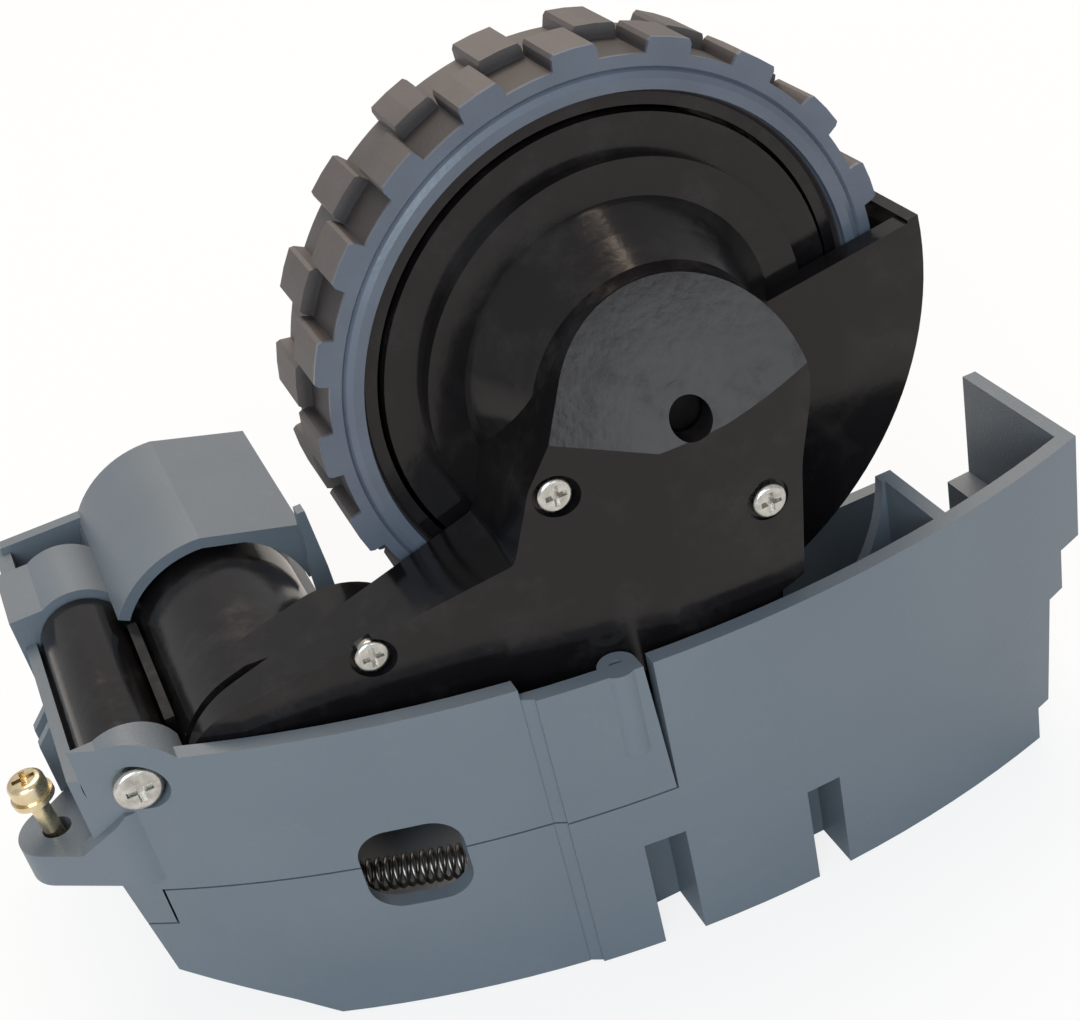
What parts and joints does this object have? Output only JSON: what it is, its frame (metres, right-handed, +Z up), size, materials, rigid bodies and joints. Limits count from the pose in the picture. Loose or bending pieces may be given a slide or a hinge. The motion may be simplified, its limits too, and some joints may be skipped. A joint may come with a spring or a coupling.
{
  "type": "robot vacuum wheel module",
  "caption": "Drive wheel module with a lugged rubber tyre on a sprung swing arm, geared motor, and a curved two-part moulded housing.",
  "frame": {"origin": "centre of the bounding box on its lowest plane", "axes": "+X towards the wheel end of the housing, +Y away from the curved outer wall, +Z up towards the wheel"},
  "size_m": [0.1347, 0.081, 0.1055],
  "materials": {
    "housing_plastic": "satin moulded, blue-grey",
    "black_plastic": "gloss moulded",
    "tyre_rubber": "satin rubber with lugs",
    "screw_steel": "bright plated",
    "gold_screw": "yellow plated",
    "spring_steel": "drawn wire",
    "motor_steel": "plated can",
    "brass": "turned",
    "contact_metal": "tinned",
    "gear_plastic": "natural moulded",
    "board_green": "coated board",
    "connector_plastic": "moulded"
  },
  "bodies": {
    "housing": {"housing_main": "housing_plastic", "housing_pivot_cover": "housing_plastic", "housing_screws": "screw_steel", "pivot_screw": "screw_steel", "captive_mount_screws": "gold_screw", "extension_spring": "spring_steel", "drop_switch": "black_plastic", "switch_pins": "contact_metal", "connector_block": "connector_plastic", "connector_pins": "contact_metal"},
    "arm": {"gearbox_case": "black_plastic", "gearbox_cover": "black_plastic", "cover_screws": "screw_steel", "gear_pins": "screw_steel", "axle_bushes": "brass", "motor_can": "motor_steel", "motor_end_cap": "black_plastic", "motor_terminals": "contact_metal", "encoder_board": "board_green", "encoder_sensor": "black_plastic"},
    "wheel": {"tyre": "tyre_rubber", "wheel_rim": "black_plastic", "wheel_screw": "screw_steel", "wheel_washer": "screw_steel", "drive_axle": "screw_steel", "output_gear": "gear_plastic"},
    "idler": {"idler_gear": "gear_plastic"},
    "gear_three": {"third_gear": "gear_plastic"},
    "gear_two": {"second_gear": "gear_plastic"},
    "gear_one": {"first_gear": "gear_plastic"},
    "rotor": {"motor_shaft": "screw_steel", "motor_pinion": "brass", "encoder_wheel": "black_plastic"},
    "lever": {"switch_lever": "screw_steel"}
  },
  "joints": [
    {"name": "arm_swing", "type": "hinge", "parent": "housing", "child": "arm", "pos_m": [-0.05141, -0.0009, 0.04102], "axis": [0, 1, 0], "range_deg": [0, 20], "stiffness_Nm_per_rad": 1.06, "springref_deg": -13.52, "deforming": ["extension_spring"]},
    {"name": "wheel_spin", "type": "hinge", "parent": "arm", "child": "wheel", "pos_m": [0.01635, -0.0185, 0.0695], "axis": [0, 1, 0], "continuous": true},
    {"name": "idler_spin", "type": "hinge", "parent": "arm", "child": "idler", "pos_m": [0.01247, -0.0275, 0.05233], "axis": [0, 1, 0], "continuous": true},
    {"name": "gear_three_spin", "type": "hinge", "parent": "arm", "child": "gear_three", "pos_m": [0.00236, -0.0245, 0.04751], "axis": [0, 1, 0], "continuous": true},
    {"name": "gear_two_spin", "type": "hinge", "parent": "arm", "child": "gear_two", "pos_m": [-0.01048, -0.0245, 0.04334], "axis": [0, 1, 0], "continuous": true},
    {"name": "gear_one_spin", "type": "hinge", "parent": "arm", "child": "gear_one", "pos_m": [-0.02414, -0.0195, 0.04142], "axis": [0, 1, 0], "continuous": true},
    {"name": "rotor_spin", "type": "hinge", "parent": "arm", "child": "rotor", "pos_m": [-0.03461, -0.0015, 0.03802], "axis": [0, 1, 0], "continuous": true},
    {"name": "switch_press", "type": "hinge", "parent": "housing", "child": "lever", "pos_m": [-0.04265, 0.0255, 0.0137], "axis": [0, 1, 0], "range_deg": [0, 12], "stiffness_Nm_per_rad": 0.02, "springref_deg": -11.46}
  ],
  "couplings": [
    {"joint": "idler_spin", "follows": "wheel_spin", "ratio": -1.9333},
    {"joint": "gear_three_spin", "follows": "wheel_spin", "ratio": 2.2308},
    {"joint": "gear_two_spin", "follows": "wheel_spin", "ratio": -4.9396},
    {"joint": "gear_one_spin", "follows": "wheel_spin", "ratio": 13.995},
    {"joint": "rotor_spin", "follows": "wheel_spin", "ratio": -47.584}
  ]
}
